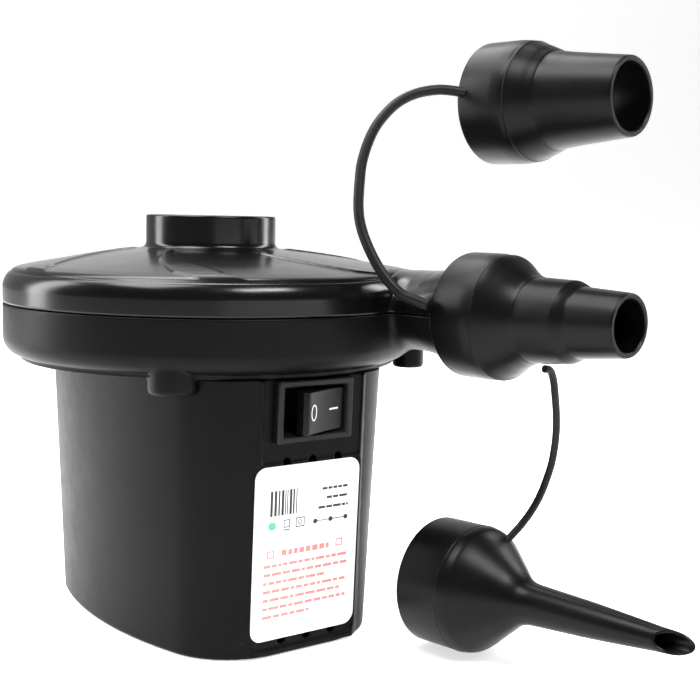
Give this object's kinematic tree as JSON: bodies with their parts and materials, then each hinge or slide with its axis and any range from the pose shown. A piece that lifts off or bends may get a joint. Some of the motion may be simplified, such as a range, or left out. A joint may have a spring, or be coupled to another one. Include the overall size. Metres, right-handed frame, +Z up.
{
  "type": "electric air mattress pump",
  "caption": "Boxy black motor housing under a round turbine volute with a top inlet collar and a side outlet; push-on tapered nozzles hang on moulded tethers.",
  "frame": {"origin": "on the standing surface under the motor axis", "axes": "+Z up along the motor axis, -Y the front with the switch and the label, +X the side the outlet is on"},
  "size_m": [0.1278, 0.1826, 0.152],
  "materials": {
    "housing_black": "satin",
    "lid_black": "semi-gloss",
    "rubber_dark": "matte",
    "steel_can": "brushed",
    "endcap_nylon": "matte",
    "bronze": "machined",
    "ferrite": "matte",
    "steel_core": "machined",
    "copper_enamel": "enamelled",
    "copper": "machined",
    "impeller_white": "satin",
    "screw_steel": "zinc plated",
    "board_green": "satin",
    "capacitor_blue": "gloss",
    "switch_black": "satin",
    "mark_white": "printed",
    "wire_red": "satin",
    "wire_black": "satin",
    "label_white": "printed film",
    "nozzle_black": "satin",
    "tether_black": "satin"
  },
  "bodies": {
    "housing": {"body_shell": "housing_black", "base_cover": "housing_black", "volute_pan": "housing_black", "volute_lid": "lid_black", "seam_gasket": "rubber_dark", "outlet_collar": "lid_black", "inlet_grille": "lid_black", "motor_can": "steel_can", "motor_endcap": "endcap_nylon", "motor_bush_top": "bronze", "motor_bush_low": "bronze", "magnet_left": "ferrite", "magnet_right": "ferrite", "brush_left": "ferrite", "brush_right": "ferrite", "motor_sleeve": "rubber_dark", "damping_ring": "rubber_dark", "motor_screws": "screw_steel", "circuit_board": "board_green", "capacitor": "capacitor_blue", "choke_coil": "copper_enamel", "switch_body": "switch_black", "switch_terminals": "screw_steel", "power_inlet": "switch_black", "wire_live": "wire_red", "wire_return": "wire_black", "pan_screws": "screw_steel", "base_screws": "screw_steel", "rating_label": "label_white"},
    "rotor": {"armature_core": "steel_core", "armature_coils": "copper_enamel", "commutator": "copper", "motor_shaft": "steel_core", "impeller": "impeller_white", "impeller_nut": "bronze"},
    "rocker": {"switch_rocker": "switch_black", "switch_marks": "mark_white"},
    "fitted_nozzle": {"nozzle_medium": "nozzle_black"},
    "upper_nozzle": {"nozzle_large": "nozzle_black", "tether_upper": "tether_black"},
    "lower_nozzle": {"nozzle_small": "nozzle_black", "tether_lower": "tether_black"}
  },
  "joints": [
    {"name": "rotor_spin", "type": "hinge", "parent": "housing", "child": "rotor", "pos_m": [0, 0, 0.04], "axis": [0, 0, 1], "continuous": true},
    {"name": "rocker_toggle", "type": "hinge", "parent": "housing", "child": "rocker", "pos_m": [0.0004, -0.04562, 0.06051], "axis": [0, -0.04, 0.9992], "range_deg": [-38, 0]},
    {"name": "nozzle_pull", "type": "slide", "parent": "housing", "child": "fitted_nozzle", "axis": [0.1219, -0.9925, 0], "range_m": [0, 0.03]},
    {"name": "upper_tether_flex", "type": "hinge", "parent": "fitted_nozzle", "child": "upper_nozzle", "pos_m": [0.0232, -0.0636, 0.0855], "axis": [0.1219, -0.9925, 0], "range_deg": [-30, 8], "stiffness_Nm_per_rad": 0.03, "springref_deg": 3.09},
    {"name": "lower_tether_flex", "type": "hinge", "parent": "fitted_nozzle", "child": "lower_nozzle", "pos_m": [0.0417, -0.0834, 0.0726], "axis": [0.1219, -0.9925, 0], "range_deg": [-30, 14], "stiffness_Nm_per_rad": 0.02}
  ]
}
